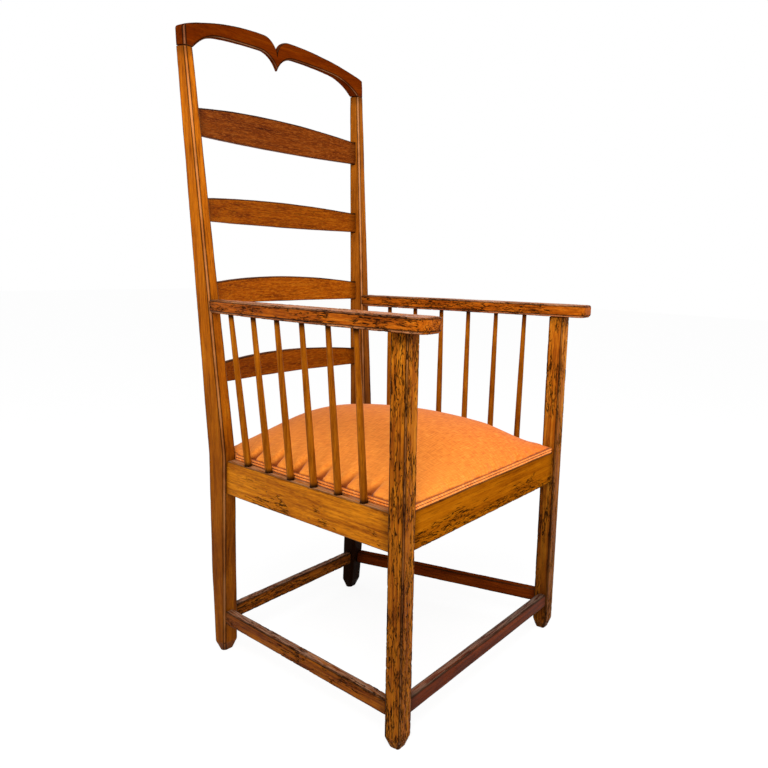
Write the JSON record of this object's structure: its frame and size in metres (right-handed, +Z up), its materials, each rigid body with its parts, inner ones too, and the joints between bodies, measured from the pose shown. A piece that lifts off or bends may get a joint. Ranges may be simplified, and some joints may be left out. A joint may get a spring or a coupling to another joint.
{
  "type": "ladder back armchair",
  "caption": "Open armchair with a tall back of bowed ladder slats under a notched crest rail, spindles below flat arms, and an upholstered seat with a piped edge.",
  "frame": {"origin": "on the floor, at the middle of the chair's footprint box", "axes": "+Z up, -Y towards the sitter's front, +X to the right of someone facing the chair"},
  "size_m": [0.608, 0.5852, 1.196],
  "materials": {
    "oak": "worn wax over stained oak, semi gloss",
    "orange_cover": "slubbed linen weave",
    "welt_cord": "cloth covered cord",
    "hessian": "plain jute cloth",
    "jute_webbing": "woven jute strap"
  },
  "bodies": {
    "root": {"arm_left": "oak", "arm_right": "oak", "back_slat_1": "oak", "back_slat_2": "oak", "back_slat_3": "oak", "back_slat_4": "oak", "crest_rail": "oak", "front_post_left": "oak", "front_post_right": "oak", "rear_post_left": "oak", "rear_post_right": "oak", "seat_cushion": "orange_cover", "seat_deck": "hessian", "seat_rail_front": "oak", "seat_rail_left": "oak", "seat_rail_rear": "oak", "seat_rail_right": "oak", "seat_strap_cross_1": "jute_webbing", "seat_strap_cross_2": "jute_webbing", "seat_strap_cross_3": "jute_webbing", "seat_strap_cross_4": "jute_webbing", "seat_strap_long_1": "jute_webbing", "seat_strap_long_2": "jute_webbing", "seat_strap_long_3": "jute_webbing", "seat_strap_long_4": "jute_webbing", "seat_strap_long_5": "jute_webbing", "seat_welt": "welt_cord", "spindle_1_left": "oak", "spindle_1_right": "oak", "spindle_2_left": "oak", "spindle_2_right": "oak", "spindle_3_left": "oak", "spindle_3_right": "oak", "spindle_4_left": "oak", "spindle_4_right": "oak", "spindle_5_left": "oak", "spindle_5_right": "oak", "spindle_6_left": "oak", "spindle_6_right": "oak", "stretcher_front": "oak", "stretcher_left": "oak", "stretcher_rear": "oak", "stretcher_right": "oak"}
  },
  "joints": []
}
